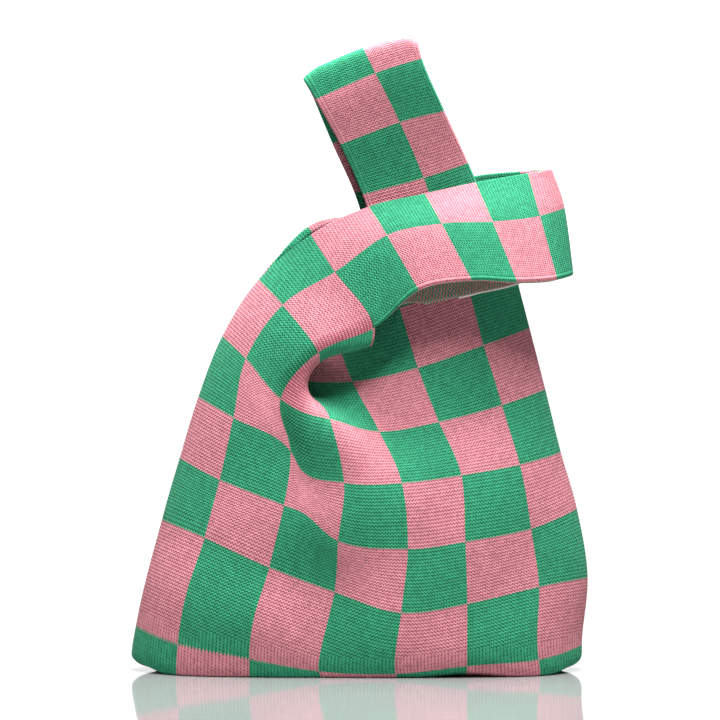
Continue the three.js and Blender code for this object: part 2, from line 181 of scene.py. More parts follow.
def curve(points, knots, t, start=None, end=None):
    """points has one row of places a knot; the answer has one row for each t."""
    points = np.asarray(points, float)
    knots = np.asarray(knots, float)
    t = np.asarray(t, float)
    slopes = knot_slopes(points, knots)
    if start is not None:
        slopes[0] = start
    if end is not None:
        slopes[-1] = end
    i = np.clip(np.searchsorted(knots, t, side="left") - 1, 0, len(knots) - 2)
    span = knots[i + 1] - knots[i]
    s = ((t - knots[i]) / span)[:, None, None]
    span = span[:, None, None]
    return (
        points[i] * (2 * s**3 - 3 * s**2 + 1)
        + slopes[i] * (s**3 - 2 * s**2 + s) * span
        + points[i + 1] * (3 * s**2 - 2 * s**3)
        + slopes[i + 1] * (s**3 - s**2) * span
    )


# Nets of the panels and straps
FRONT, BACK = -1, 1
COLUMN_LINES = list(range(COLUMNS + 1))
SHORT = {
    "columns": SHORT_COLUMNS,
    "net": SHORT_NET,
    "bend": SHORT_BEND,
    "depths": (-SHORT_FRONT_DEPTH, SHORT_BACK_DEPTH),
    "ahead": [0] * len(SHORT_NET),
    "shift": SHORT_SHIFT,
    "lift": SHORT_LIFT,
    "flare": SHORT_FLARE,
    "curl": 3.5,
    "corners": (0.0, 0.0),
}
LONG = {
    "columns": LONG_COLUMNS,
    "net": LONG_NET,
    "bend": LONG_BEND,
    "depths": (-LONG_GAP / 2, LONG_GAP / 2),
    "ahead": LONG_AHEAD,
    "shift": LONG_SHIFT,
    "lift": [0] * len(LONG_NET),
    "flare": [0] * len(LONG_NET[0]),
    "curl": 0.0,
    "corners": (3.0, 5.0),
}


def strap_row(strap, j, side):
    """Crossings on a row line of a strap's front or back layer."""
    front, back = strap["depths"]
    bend = strap["bend"][j]
    depth = (front + back) / 2 + side * (back - front) * bend / 2 - strap["ahead"][j]
    if side == BACK:
        return [[x - strap["shift"][j], depth, z + strap["lift"][j]] for x, z in strap["net"][j]]
    return [[x, depth - flare * bend, z] for (x, z), flare in zip(strap["net"][j], strap["flare"])]


def front_points(j):
    """A row line of the front, with the lip beside the short strap put in."""
    points = np.array([[x, -ahead, z] for x, ahead, z in FRONT_NET[j]], float)
    lip = curve(points[:, None], COLUMN_LINES, [LIP_LINE])[0, 0]
    if FRONT_ROWS[j] in FRONT_LIP:
        x, ahead, z = FRONT_LIP[FRONT_ROWS[j]]
        lip = np.array([x, -ahead, z])
    return np.insert(points, FRONT_LINES.index(LIP_LINE), lip, axis=0)


def back_points(j):
    """A row line of the back."""
    line = FRONT_ROWS[j]
    points = []
    for i, (x, _, z) in enumerate(FRONT_NET[j]):
        x, z = BACK_MOVED.get(line, {}).get(i, (x, z))
        behind = BACK_TOP[line][i] if line in BACK_TOP else BACK_BULGE[j] * BACK_PROFILE[i]
        points.append([x, behind, z])
    return points


def with_strap_row(net, side):
    """The first row of the straps goes on top, so that the panels run on into them without a kink."""
    net = np.array(net, float)
    short = strap_row(SHORT, 0, side)
    long = strap_row(LONG, 0, side)
    between = (2 * net[-1] - net[-2])[len(short) : -len(long)]
    return np.concatenate([net, [[*short, *between, *long]]])


FRONT_LINES = sorted([*COLUMN_LINES, LIP_LINE])
LINES = {FRONT: FRONT_LINES, BACK: COLUMN_LINES}
NETS = {
    FRONT: with_strap_row([front_points(j) for j in range(len(FRONT_ROWS))], FRONT),
    BACK: with_strap_row([back_points(j) for j in range(len(FRONT_ROWS))], BACK),
}
PANEL_KNOTS = [*FRONT_ROWS, STRAP_ROWS[0]]


def panel_row(side, j, c):
    """Places on a row line of a panel. Where the sides are seamed the panels meet without a kink."""
    row = NETS[side][j]
    start = end = None
    if 0 < PANEL_KNOTS[j] <= SEAM_TOP_ROW:
        start = np.array([0, row[1][1], 0])
        end = np.array([0, -row[-2][1], 0])
    points = curve(row[:, None], LINES[side], c, start, end)[:, 0]
    points[:, 1] += side * SEAM_GAP / 2
    return points


def panel_grid(side, c, r):
    """Places by row, then by column. On the back the columns run from 7 to 14."""
    on_row = np.asarray(c) if side == FRONT else ROUND - np.asarray(c)
    lines = np.array([panel_row(side, j, on_row) for j in range(len(PANEL_KNOTS))])
    grid = curve(lines, PANEL_KNOTS, r)
    grid[..., 2] = np.maximum(grid[..., 2], KNIT / 2)
    return grid


# Rows along a loop, that count on over the fold to the back of the mouth
LOOP_END = 2 * JOIN_ROW - MOUTH_ROW
ROW_STRETCH = (LOOP_END - FOLD_ROW) / (FOLD_ROW - MOUTH_ROW)


def back_row(row):
    return FOLD_ROW + ROW_STRETCH * (FOLD_ROW - row)


def front_row(v):
    return FOLD_ROW - (v - FOLD_ROW) / ROW_STRETCH


def strap_rows(v):
    """Checker rows along a loop: behind the join they count on as far as they ran up the front."""
    return np.where(v < JOIN_ROW, v, 2 * JOIN_ROW - front_row(v))


LEAST_LENGTH = 1e-9  # keeps a normal of no length from being divided by nothing


def normals_of(grid, c, r):
    across = np.gradient(grid, np.asarray(c), axis=1)
    up = np.gradient(grid, np.asarray(r), axis=0)
    normal = np.cross(across, up)
    return normal / np.maximum(np.linalg.norm(normal, axis=2, keepdims=True), LEAST_LENGTH)


# Curled edges and drawn corners
STRAP_MM = 30.5  # width of a strap column
CURL_WIDTH = 9.0
CURL_ROWS = (13.5, 15.6, LOOP_END)  # the back layer's upper edge curls outwards most at the second
CURL_SHARES = (0.0, 1.5, 0.7)
CURL_SINK = 1.2  # how far the curled edge draws in, for each millimetre that it turns out
CORNER_ROWS = 0.7  # the corners of a fold are drawn down over so many rows on both sides of it


def curled(grid, c, r, amount, inwards=1):
    """The grid turned outwards by the amount and drawn in along its columns, or with -1 against them."""
    across = np.gradient(grid, np.asarray(c), axis=1)
    across /= np.linalg.norm(across, axis=2, keepdims=True)
    return grid + (normals_of(grid, c, r) + inwards * CURL_SINK * across) * amount[..., None]


def edge_curl(distance):
    """Share of the curl by the distance from the edge."""
    return np.clip(1 - distance / CURL_WIDTH, 0, 1) ** 2


def corner_drop(strap, c, v):
    """How far the corners of a strap's fold are drawn down."""
    from_first, from_last = (np.abs(np.asarray(c) - line) * STRAP_MM for line in strap["columns"])
    first, last = strap["corners"]
    drop = first * edge_curl(from_first) + last * edge_curl(from_last)
    near = np.clip(1 - np.abs(np.asarray(v) - FOLD_ROW) / CORNER_ROWS, 0, 1)
    return (near**2 * (3 - 2 * near))[:, None] * drop[None]


class Loop:
    """A strap from the front of the mouth over its fold to the back of the mouth."""

    def __init__(self, strap):
        first, last = self.columns = strap["columns"]
        self.lines = [first, first + 1, last]
        self.strap = strap
        mouth = FRONT_ROWS.index(MOUTH_ROW)
        rises = list(range(len(STRAP_ROWS)))
        self.rows = [(FRONT, "panel", j) for j in (mouth - 1, mouth)]
        self.rows += [(FRONT, "strap", j) for j in rises]
        self.rows += [(BACK, "strap", j) for j in rises[-2::-1]]
        self.rows += [(BACK, "panel", j) for j in (mouth, mouth - 1)]
        self.knots = [MOUTH_ROW - 1, MOUTH_ROW, *STRAP_ROWS]
        self.knots += [back_row(STRAP_ROWS[j]) for j in rises[-2::-1]]
        self.knots += [back_row(FRONT_ROWS[j]) for j in (mouth, mouth - 1)]

    def __call__(self, c, v):
        lines = []
        for side, kind, j in self.rows:
            if kind == "panel":
                lines.append(panel_row(side, j, np.asarray(c, float)))
            else:
                row = np.array(strap_row(self.strap, j, side))
                lines.append(curve(row[:, None], self.lines, c)[:, 0])
        grid = curve(np.array(lines), self.knots, v)
        grid[..., 2] -= corner_drop(self.strap, c, v)
        amount = self.strap["curl"] * edge_curl((np.asarray(c) - self.columns[0]) * STRAP_MM)
        fade = np.interp(v, CURL_ROWS, CURL_SHARES)
        return curled(grid, c, v, fade[:, None] * amount[None])


short_loop = Loop(SHORT)
long_loop = Loop(LONG)

# Colours, and the painted shade that darkens each of them in the gap between two stitches
GREEN = (0.036, 0.365, 0.192)
PINK = (0.74, 0.29, 0.34)
PALE = (0.95, 0.9, 0.86)
WHITE = (1.0, 1.0, 1.0)
GREEN_GAP_SHADE = (0.06, 0.22, 0.16)
PINK_GAP_SHADE = (0.4, 0.18, 0.22)

# Looks of all cloth and yarn
CLOTH_ROUGHNESS = 0.8
CLOTH_SHEEN = 0.05
CLOTH_GLOSS = 0.05
SHEEN_ROUGHNESS = 0.5
BUMP_DISTANCE = 0.0007  # metres

# Knit: lows and highs of its shades, and the scales of its noises by the metre
REVERSE_FINENESS = 1.7  # stitches of the reverse for each one of the face
GAP_POWER = 1.1  # how narrow the gap between two courses is
GAP_HALF_WAY = 0.08  # share of that gap that shows half way along the arm of a stitch
RIB_GROOVE = 0.45  # share of the groove between ribs that shows where a course is thickest
RIB_SHARE = 0.8  # how far the ribs hide the stitches that they are made of
PULLED_GAP = 4.0  # how much more shows of the gap between stitches that are pulled apart
FIBRE_SCALE = 1800.0
FIBRE_HAZE = 0.03  # how pale the yarn is at most where its loose fibres catch the light
STITCH_SHADES = (0.86, 1.16)
PATCH_SCALE = 35.0
PATCH_SHADES = (0.9, 1.1)
FUZZ_SCALE = 2500.0
FUZZ_SHADES = (0.85, 1.15)
FUZZ_HEIGHT = 0.3  # for each depth of a gap
KNIT_BUMP = 0.6

# Yarn, the same way
PLY_SCALE = 900.0
PLY_DETAIL = 3.0
PLY_SHADES = (0.65, 1.2)
WEAR_SCALE = 60.0
WEAR_SHADES = (0.85, 1.1)
YARN_BUMP = 0.5


class Nodes:
    """Short ways to make shader nodes and join them."""

    def __init__(self, name):
        self.material = bpy.data.materials.new(name)
        self.material.use_nodes = True
        self.tree = self.material.node_tree
        self.shader = next(n for n in self.tree.nodes if n.type == "BSDF_PRINCIPLED")

    def set(self, socket, value):
        if isinstance(value, bpy.types.NodeSocket):
            self.tree.links.new(value, socket)
        else:
            socket.default_value = value

    def math(self, operation, *values):
        node = self.tree.nodes.new("ShaderNodeMath")
        node.operation = operation
        for socket, value in zip(node.inputs, values):
            self.set(socket, value)
        return node.outputs[0]

    def uv(self, layer):
        node = self.tree.nodes.new("ShaderNodeUVMap")
        node.uv_map = layer
        split = self.tree.nodes.new("ShaderNodeSeparateXYZ")
        self.set(split.inputs[0], node.outputs[0])
        return split.outputs[0], split.outputs[1]

    def pair(self, x, y):
        node = self.tree.nodes.new("ShaderNodeCombineXYZ")
        self.set(node.inputs[0], x)
        self.set(node.inputs[1], y)
        return node.outputs[0]

    def chance(self, vector):
        node = self.tree.nodes.new("ShaderNodeTexWhiteNoise")
        node.noise_dimensions = "2D"
        self.set(node.inputs["Vector"], vector)
        return node.outputs["Value"]

    def noise(self, scale, detail=2.0):
        node = self.tree.nodes.new("ShaderNodeTexNoise")
        place = self.tree.nodes.new("ShaderNodeTexCoord")
        self.set(node.inputs["Vector"], place.outputs["Object"])
        self.set(node.inputs["Scale"], scale)
        self.set(node.inputs["Detail"], detail)
        return node.outputs[0]

    def mix(self, share, first, second, blend="MIX"):
        node = self.tree.nodes.new("ShaderNodeMix")
        node.data_type = "RGBA"
        node.blend_type = blend
        self.set(node.inputs[0], share)
        colours = [socket for socket in node.inputs if socket.type == "RGBA"]
        for socket, value in zip(colours, (first, second)):
            self.set(socket, (*value, 1.0) if isinstance(value, tuple) else value)
        return next(socket for socket in node.outputs if socket.type == "RGBA")

    def range(self, value, low, high):
        node = self.tree.nodes.new("ShaderNodeMapRange")
        for socket, number in zip(node.inputs, (value, 0.0, 1.0, low, high)):
            self.set(socket, number)
        return node.outputs[0]

    def grey(self, value):
        node = self.tree.nodes.new("ShaderNodeCombineColor")
        for socket in node.inputs:
            self.set(socket, value)
        return node.outputs[0]

    def shaded(self, colour, value):
        return self.mix(1.0, colour, self.grey(value), "MULTIPLY")

    def finish(
        self, colour, height, bump, roughness=CLOTH_ROUGHNESS, sheen=CLOTH_SHEEN, gloss=CLOTH_GLOSS
    ):
        shader = self.shader
        self.set(shader.inputs["Base Color"], colour)
        shader.inputs["Roughness"].default_value = roughness
        shader.inputs["Sheen Weight"].default_value = sheen
        shader.inputs["Sheen Roughness"].default_value = SHEEN_ROUGHNESS
        shader.inputs["Specular IOR Level"].default_value = gloss
        node = self.tree.nodes.new("ShaderNodeBump")
        node.inputs["Strength"].default_value = bump
        node.inputs["Distance"].default_value = BUMP_DISTANCE
        self.set(node.inputs["Height"], height)
        self.set(shader.inputs["Normal"], node.outputs[0])
        return self.material


def knit_material(name, reverse=False):
    """Stockinette in two colours; the reverse side has them in alternate stitches."""
    n = Nodes(name)
    wale, course = n.uv("stitch")
    square_c, square_r = n.uv("checker")
    from_edge, pulled = n.uv("edge")
    if reverse:
        wale = n.math("MULTIPLY", wale, REVERSE_FINENESS)
        course = n.math("MULTIPLY", course, REVERSE_FINENESS)
    ribs = n.math("LESS_THAN", from_edge, HEM_WALES)
    # middle is 1 in the middle of a stitch and 0 at its sides, and rise follows the slant of its arms
    middle = n.math("PINGPONG", n.math("MULTIPLY", wale, 2.0), 1.0)
    rise = n.math("MULTIPLY_ADD", middle, STITCH_SLANT, course)
    # gap is 0 on the yarn and 1 in the deepest gaps, where the bump sinks and the colour is darkened as
    # painted shade
    between = n.math("COSINE", n.math("MULTIPLY", rise, 2 * math.pi))
    between = n.math("POWER", n.math("MULTIPLY_ADD", between, -0.5, 0.5), GAP_POWER)
    beside = n.math("ABSOLUTE", n.math("COSINE", n.math("MULTIPLY", middle, math.pi)))
    gap = n.math("MULTIPLY", between, n.range(beside, GAP_HALF_WAY, 1.0))
    rib = n.math("MULTIPLY", n.math("POWER", middle, 2.0), n.range(between, RIB_GROOVE, 1.0))
    gap = n.math("MULTIPLY_ADD", n.range(ribs, 0.0, RIB_SHARE), n.math("SUBTRACT", rib, gap), gap)
    gap = n.math("MINIMUM", n.math("MULTIPLY", gap, n.range(pulled, 1.0, PULLED_GAP)), 1.0)
    stitch = n.pair(n.math("FLOOR", wale), n.math("FLOOR", rise))
    if reverse:
        count = n.math("ADD", n.math("FLOOR", wale), n.math("FLOOR", course))
    else:
        # The edge between two rows of squares follows the arms of the stitches
        edge = n.math("MULTIPLY_ADD", middle, STITCH_SLANT / COURSES, square_r)
        count = n.math("ADD", n.math("FLOOR", square_c), n.math("FLOOR", edge))
    odd = n.math("GREATER_THAN", n.math("FRACT", n.math("MULTIPLY", count, 0.5)), 0.25)
    colour = n.mix(odd, GREEN, PINK)
    colour = n.mix(n.range(n.noise(FIBRE_SCALE, detail=1.0), 0.0, FIBRE_HAZE), colour, WHITE)
    # Painted shade: the colour is darkened by the gap colours where the gap between stitches is deepest
    gap_shade = n.mix(1.0, colour, n.mix(odd, GREEN_GAP_SHADE, PINK_GAP_SHADE), "MULTIPLY")
    colour = n.mix(gap, n.shaded(colour, n.range(n.chance(stitch), *STITCH_SHADES)), gap_shade)
    fuzz = n.noise(FUZZ_SCALE, detail=1.0)
    patches = n.range(n.noise(PATCH_SCALE), *PATCH_SHADES)
    light = n.math("MULTIPLY", patches, n.range(fuzz, *FUZZ_SHADES))
    height = n.math("SUBTRACT", n.math("MULTIPLY", fuzz, FUZZ_HEIGHT), gap)
    return n.finish(n.shaded(colour, light), height, KNIT_BUMP)


def yarn_material(name, colour):
    n = Nodes(name)
    ply = n.noise(PLY_SCALE, PLY_DETAIL)
    shade = n.math("MULTIPLY", n.range(ply, *PLY_SHADES), n.range(n.noise(WEAR_SCALE), *WEAR_SHADES))
    return n.finish(n.shaded(colour, shade), ply, YARN_BUMP)


KNIT_FACE = knit_material("checker_knit")
KNIT_BACK = knit_material("bird_eye_knit", reverse=True)
CLOTH = [KNIT_FACE, KNIT_BACK]
PINK_YARN = yarn_material("pink_yarn", PINK)
GREEN_YARN = yarn_material("green_yarn", GREEN)
PALE_YARN = yarn_material("pale_yarn", PALE)


# Sheets
EDGE_DISTANCES = [0, 0.12, 0.35, 0.7, 1.2, 1.6, 2.0, 2.4, 2.8, 3.3]  # of the stations by a free edge
EDGE_ROUNDING = 0.98  # how far an edge is rounded; at 1 it would come to a line
BAND_ENDS = 0.02  # of the baked picture, left bare at both ends of a strip
BAND_SIDES = 0.03  # of a strip's height, left bare at both sides
MARGIN = 0.006  # of the baked picture, round each strip
FAR = 99.0  # wales from any edge


def stations(first, last, steps):
    return np.linspace(first, last, steps + 1)


def with_edges(first, last, steps, unit, low=True, high=True):
    """Even stations, closer by the free edges; unit is the length of a column or row in millimetres."""
    near = np.array(EDGE_DISTANCES) / unit
    start = first + near if low else np.array([first])
    stop = (last - near)[::-1] if high else np.array([last])
    return np.concatenate([start[:-1], np.linspace(start[-1], stop[0], steps + 1), stop[1:]])


def rounded(distance, half):
    """Half thickness of a sheet by the distance from its free edge."""
    share = np.clip(1 - distance / half, 0, EDGE_ROUNDING)
    return half * np.sqrt(1 - share**2)


def course_of(r):
    """Courses from the base seam up to a row line of a panel."""
    even = [COURSES] * (len(FRONT_ROWS) - len(BASE_COURSES) - 2)
    counts = np.cumsum([0, *BASE_COURSES, TALL_COURSES, *even])
    return np.interp(r, FRONT_ROWS, counts)


def new_piece(name, points, faces, materials, kinds=None, layers=None):
    mesh = bpy.data.meshes.new(name)
    mesh.from_pydata((points * METRES).tolist(), [], faces)
    for material in materials:
        mesh.materials.append(material)
    mesh.polygons.foreach_set("use_smooth", np.ones(len(faces), bool))
    if kinds is not None:
        mesh.polygons.foreach_set("material_index", np.asarray(kinds, np.int32))
    for layer, values in (layers or {}).items():
        uv = mesh.uv_layers.new(name=layer)
        uv.data.foreach_set("uv", np.asarray(values, np.float32).ravel())
    mesh.update()
    piece = bpy.data.objects.new(name, mesh)
    bpy.context.scene.collection.objects.link(piece)
    return piece


def bake_places(lengths, widths, bands):
    """Places in the baked picture for both faces, in strips of rows that are stacked over each other."""
    along = np.concatenate([[0], np.cumsum(lengths)]) / np.sum(lengths)
    across = np.concatenate([[0], np.cumsum(widths)]) / np.sum(widths)
    band_of = np.minimum((along[:-1] * bands).astype(int), bands - 1)
    height = 1 / (2 * bands)

    def place(face, j, row, i):
        u = np.clip(along[row] * bands - band_of[j], -BAND_ENDS, 1 + BAND_ENDS)
        v = (2 * band_of[j] + face) * height + height * (BAND_SIDES + (1 - 2 * BAND_SIDES) * across[i])
        return np.stack([BAND_ENDS + (1 - 2 * BAND_ENDS) * u, v], -1)

    return place


def sharpen_ends(mesh, rows, columns):
    """The first and last row keep the shading of their faces, so that the next piece runs on there."""
    ends = np.empty(2 * len(mesh.edges), np.int32)
    mesh.edges.foreach_get("vertices", ends)
    row = ends.reshape(-1, 2) % (rows * columns) // columns
    face = ends.reshape(-1, 2) // (rows * columns)
    along = (row[:, 0] == row[:, 1]) & (face[:, 0] == face[:, 1])
    sharp = along & ((row[:, 0] == 0) | (row[:, 0] == rows - 1))
    mesh.attributes.new("sharp_edge", "BOOLEAN", "EDGE").data.foreach_set("value", sharp)


def sheet(
    name, grid, c, r, half, materials, squares, stitches, bands=1, edge=FAR, turned=None, pulled=0.0
):
    """A closed sheet over a grid of places: its face outside, its reverse inside and a border between.

    edge is the distance from a ribbed edge in wales. Where turned is true the inner side shows the face
    of the turned edge, which belongs to the next column of the checker. pulled goes up to 1 where the
    stitches are pulled apart.
    """
    nr, nc = grid.shape[:2]
    count = nr * nc
    normal = normals_of(grid, c, r)
    half = np.broadcast_to(half, (nr, nc))
    outer = grid + normal * half[..., None]
    inner = grid - normal * half[..., None]
    points = np.concatenate([outer.reshape(-1, 3), inner.reshape(-1, 3)])
    points[:, 2] = np.maximum(points[:, 2], 0)
    index = np.arange(count).reshape(nr, nc)
    j, i = np.meshgrid(np.arange(nr - 1), np.arange(nc - 1), indexing="ij")
    j, i = j.ravel(), i.ravel()
    lengths = np.linalg.norm(np.diff(grid, axis=0), axis=2).mean(1)
    widths = np.linalg.norm(np.diff(grid, axis=1), axis=2).mean(0)
    place = bake_places(lengths, widths, bands)
    turn = [(j, i), (j, i + 1), (j + 1, i + 1), (j + 1, i)]
    faces = [np.stack([index[a, b] for a, b in turn], 1)]
    baked = [np.stack([place(0, j, a, b) for a, b in turn], 1)]
    faces.append(np.stack([count + index[a, b] for a, b in turn[::-1]], 1))
    baked.append(np.stack([place(1, j, a, b) for a, b in turn[::-1]], 1))
    shown = np.zeros(len(j)) if turned is None else turned[:-1, :-1].ravel().astype(float)
    kinds = [np.zeros(len(j)), 1 - shown]
    next_column = [np.zeros(len(j)), shown]
    rows = np.arange(nr - 1)
    cols = np.arange(nc - 1)

    def border(first, second, face_row, shift):
        a, b = index[first], index[second]
        faces.append(np.stack([b, a, count + a, count + b], 1))
        low, high = place(0, face_row, *first), place(0, face_row, *second)
        baked.append(np.stack([high, low, low + shift, high + shift], 1))
        kinds.append(np.zeros(len(a)))
        next_column.append(np.zeros(len(a)))

    zero = np.zeros_like
    border((zero(cols), cols), (zero(cols), cols + 1), zero(cols), (-MARGIN, 0))
    border((zero(cols) + nr - 1, cols + 1), (zero(cols) + nr - 1, cols), zero(cols) + nr - 2, (MARGIN, 0))
    border((rows + 1, zero(rows)), (rows, zero(rows)), rows, (0, -MARGIN))
    border((rows, zero(rows) + nc - 1), (rows + 1, zero(rows) + nc - 1), rows, (0, MARGIN))
    faces = np.concatenate(faces)
    corner = faces.ravel() % count
    squares_c, squares_r = (x.ravel()[corner] for x in np.meshgrid(*squares))
    over_grid = (*stitches, edge, pulled)
    wales, courses, from_edge, apart = (np.broadcast_to(x, (nr, nc)).ravel()[corner] for x in over_grid)
    squares_c = squares_c + np.repeat(np.concatenate(next_column), faces.shape[1])
    layers = {
        "checker": np.stack([squares_c, squares_r], 1),
        "stitch": np.stack([wales, courses], 1),
        "edge": np.stack([from_edge, apart], 1),
        "OFBake": np.concatenate(baked).reshape(-1, 2),
    }
    piece = new_piece(name, points, faces.tolist(), materials, np.concatenate(kinds), layers)
    sharpen_ends(piece.data, nr, nc)
    return piece


# Panels
WAVES = 9
WAVE_HEIGHT = 0.35  # millimetres
HALF_WAVES = (0.35, 1.1)  # least and most in a square
LAST_PHASE = 6.28  # radians
COLUMN_MM = 37.0  # size of a square
ROW_MM = 35.0
PANEL_COLUMN_STEPS = 120
BASE_STEPS = 30  # over the first row of squares
BODY_STEPS = 90  # from there to the top of the side seams
TOP_STEPS = 20  # from there to the mouth
# Stitches that are pulled apart beside the fold under the short strap, by the side of its line
PULLED = {
    -1: {"wales": 5, "rows": (4.9, 5.4), "shares": (0, 1)},
    1: {"wales": 13, "rows": (3.9, 4.5, 5.4, 5.9), "shares": (0, 1, 1, 0)},
}
BASE_RIBS = 9.0  # how far the ribs that go round the base rise above the second row's start
SHOULDER_HEM = 11.0  # the turned edge is wider on the panels than on the straps
MOUTH_LINE = 1.4  # of the mouth's edge, that is knitted in the colour of the next row


def soft_waves(c, r, seed):
    """Shallow waves of slack cloth, in millimetres."""
    draws = np.random.default_rng(seed)
    c = np.asarray(c)
    r = np.asarray(r)
    total = np.zeros((len(r), len(c)))
    for _ in range(WAVES):
        across, up = draws.uniform(*HALF_WAVES, 2) * math.pi * draws.choice([-1, 1], 2)
        total += np.sin(c[None] * across + r[:, None] * up + draws.uniform(0, LAST_PHASE))
    inside = np.sin(np.clip((c % COLUMNS) / COLUMNS, 0, 1) * math.pi)[None]
    level = (np.clip(r - SECOND_ROW, 0, 1) * np.clip(SEAM_TOP_ROW - r, 0, 1))[:, None]
    return WAVE_HEIGHT * total * inside * level


def panel_courses(grid, r):
    """Courses over a panel. Below the third row of squares they keep their size, however low it is."""
    along = np.cumsum(np.linalg.norm(np.diff(grid, axis=0, prepend=grid[:1]), axis=2), axis=0)
    third = np.searchsorted(r, THIRD_ROW)
    even = course_of(r[third]) - (along[third] - along) / COURSE
    return np.where(r[:, None] < r[third], even, course_of(r)[:, None])


def pulled_apart(line, r):
    """How far the stitches are pulled apart, up to 1."""
    from_fold = (line - SHORT_COLUMNS[1]) * WALES
    total = np.zeros((len(r), len(line)))
    for side, pull in PULLED.items():
        beside = np.where(side * from_fold > 0, np.clip(1 - side * from_fold / pull["wales"], 0, 1), 0)
        total += beside[None] * np.interp(r, pull["rows"], pull["shares"])[:, None]
    return total


def panel(name, side, seed):
    """One panel, from the base seam to the mouth."""
    shift = 0 if side == FRONT else COLUMNS
    c = shift + with_edges(0, COLUMNS, PANEL_COLUMN_STEPS, COLUMN_MM)
    base = with_edges(0, SECOND_ROW, BASE_STEPS, ROW_MM, high=False)
    body = stations(SECOND_ROW, SEAM_TOP_ROW, BODY_STEPS)
    top = with_edges(SEAM_TOP_ROW, MOUTH_ROW, TOP_STEPS, ROW_MM, low=False)
    r = np.concatenate([base[:-1], body[:-1], top])
    grid = panel_grid(side, c, r)
    line = c if side == FRONT else ROUND - c
    grid += normals_of(grid, c, r) * soft_waves(c, r, seed)[..., None]
    if side == BACK:
        fade = np.interp(r, (SEAM_TOP_ROW, MOUTH_ROW), (0, CURL_SHARES[-1]))
        amount = SHORT["curl"] * fade[:, None] * edge_curl(line * STRAP_MM)[None]
        grid = curled(grid, c, r, amount, inwards=-1)
    grid[..., 2] = np.maximum(grid[..., 2], KNIT / 2)
    by_side = np.minimum(c - c[0], c[-1] - c) * COLUMN_MM
    half = np.broadcast_to(rounded(by_side, KNIT / 2)[None], grid.shape[:2]).copy()
    free = (line > SHORT_COLUMNS[1]) & (line < LONG_COLUMNS[0])
    by_top = (MOUTH_ROW - r) * ROW_MM
    half[:, free] = np.minimum(half[:, free], rounded(by_top, KNIT / 2)[:, None])
    turned = (r[:, None] > SEAM_TOP_ROW) & (by_side[None] < SHOULDER_HEM)
    turned |= (by_top[:, None] < HEM_WIDTH) & free[None]
    rib_top = panel_grid(side, c, [SECOND_ROW])[0, :, 2] + BASE_RIBS
    by_base = np.where(grid[..., 2] < rib_top[None], 0, FAR)
    pulled = pulled_apart(line, r) if side == FRONT else 0.0
    stitches = (c * WALES, panel_courses(grid, r))
    squares = (c, np.where(by_top < MOUTH_LINE, MOUTH_ROW + MOUTH_LINE / ROW_MM, r))
    edges = {"edge": by_base, "turned": turned, "pulled": pulled}
    return sheet(name, grid, c, r, half, CLOTH, squares, stitches, **edges)


front_body = panel("front_body", FRONT, seed=3)
back_body = panel("back_body", BACK, seed=8)
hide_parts("front_panel")
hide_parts("back_panel")
for body in (front_body, back_body):
    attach(body, "bag")


# Yarn
YARN_STEP = 0.6  # millimetres along it
YARN_SIDES = 6
YARN_PLIES = 2
UPRIGHT_SINE = 0.2  # a path that leans less than this is taken for upright
UPRIGHT_COSINE = 0.8  # and so is one that climbs more than this


def tube(path, radius, sides):
    """Points and faces of a closed tube along a path, with flat ends."""
    path = np.asarray(path, float)
    heading = np.gradient(path, axis=0)
    heading /= np.linalg.norm(heading, axis=1, keepdims=True)
    side = np.zeros_like(path)
    vector = np.cross(heading[0], [0.0, 0.0, 1.0])
    if np.linalg.norm(vector) < UPRIGHT_SINE:
        vector = np.cross(heading[0], [0.0, 1.0, 0.0])
    for k, ahead in enumerate(heading):
        vector = vector - ahead * (vector @ ahead)
        vector /= np.linalg.norm(vector)
        side[k] = vector
    other = np.cross(heading, side)
    angle = np.arange(sides) * 2 * math.pi / sides
    ring = side[:, None] * np.cos(angle)[None, :, None] + other[:, None] * np.sin(angle)[None, :, None]
    points = (path[:, None] + radius * ring).reshape(-1, 3)
    k, a = np.meshgrid(np.arange(len(path) - 1), np.arange(sides), indexing="ij")
    k, a = k.ravel(), a.ravel()
    b = (a + 1) % sides
    low, high = k * sides, (k + 1) * sides
    faces = np.stack([low + a, low + b, high + b, high + a], 1).tolist()
    faces.append(list(range(sides))[::-1])
    faces.append([(len(path) - 1) * sides + x for x in range(sides)])
    return points, faces


def joined(name, parts, material):
    """One piece from several tubes."""
    points, faces, start = [], [], 0
    for tube_points, tube_faces in parts:
        points.append(tube_points)
        faces += [[start + corner for corner in face] for face in tube_faces]
        start += len(tube_points)
    return new_piece(name, np.concatenate(points), faces, [material])


def spaced(path, step):
    """The path with points at even steps."""
    path = np.asarray(path, float)
    along = np.concatenate([[0], np.cumsum(np.linalg.norm(np.diff(path, axis=0), axis=1))])
    at = np.linspace(0, along[-1], max(int(along[-1] / step), 2) + 1)
    return np.stack([np.interp(at, along, path[:, k]) for k in range(3)], 1)


def twisted(path, diameter, pitch, plies=YARN_PLIES):
    """Plies of yarn that wind round a path."""
    path = spaced(path, YARN_STEP)
    heading = np.gradient(path, axis=0)
    heading /= np.linalg.norm(heading, axis=1, keepdims=True)
    up = np.where(np.abs(heading[:, 2:]) > UPRIGHT_COSINE, [[0.0, 1.0, 0.0]], [[0.0, 0.0, 1.0]])
    side = np.cross(heading, up)
    side /= np.linalg.norm(side, axis=1, keepdims=True)
    other = np.cross(heading, side)
    along = np.arange(len(path)) * YARN_STEP
    ply = diameter / 4
    parts = []
    for k in range(plies):
        angle = (along / pitch + k / plies) * 2 * math.pi
        line = path + ply * (side * np.cos(angle)[:, None] + other * np.sin(angle)[:, None])
        parts.append(tube(line, ply, YARN_SIDES))
    return parts


# Rolled rims of the mouth between the straps
RIM_PITCH = 3.2
RIM_PLIES = 3
RIM_POINTS = 90
RIM_CLEAR = 0.03  # columns between the ends of a rim and the lip or the straps


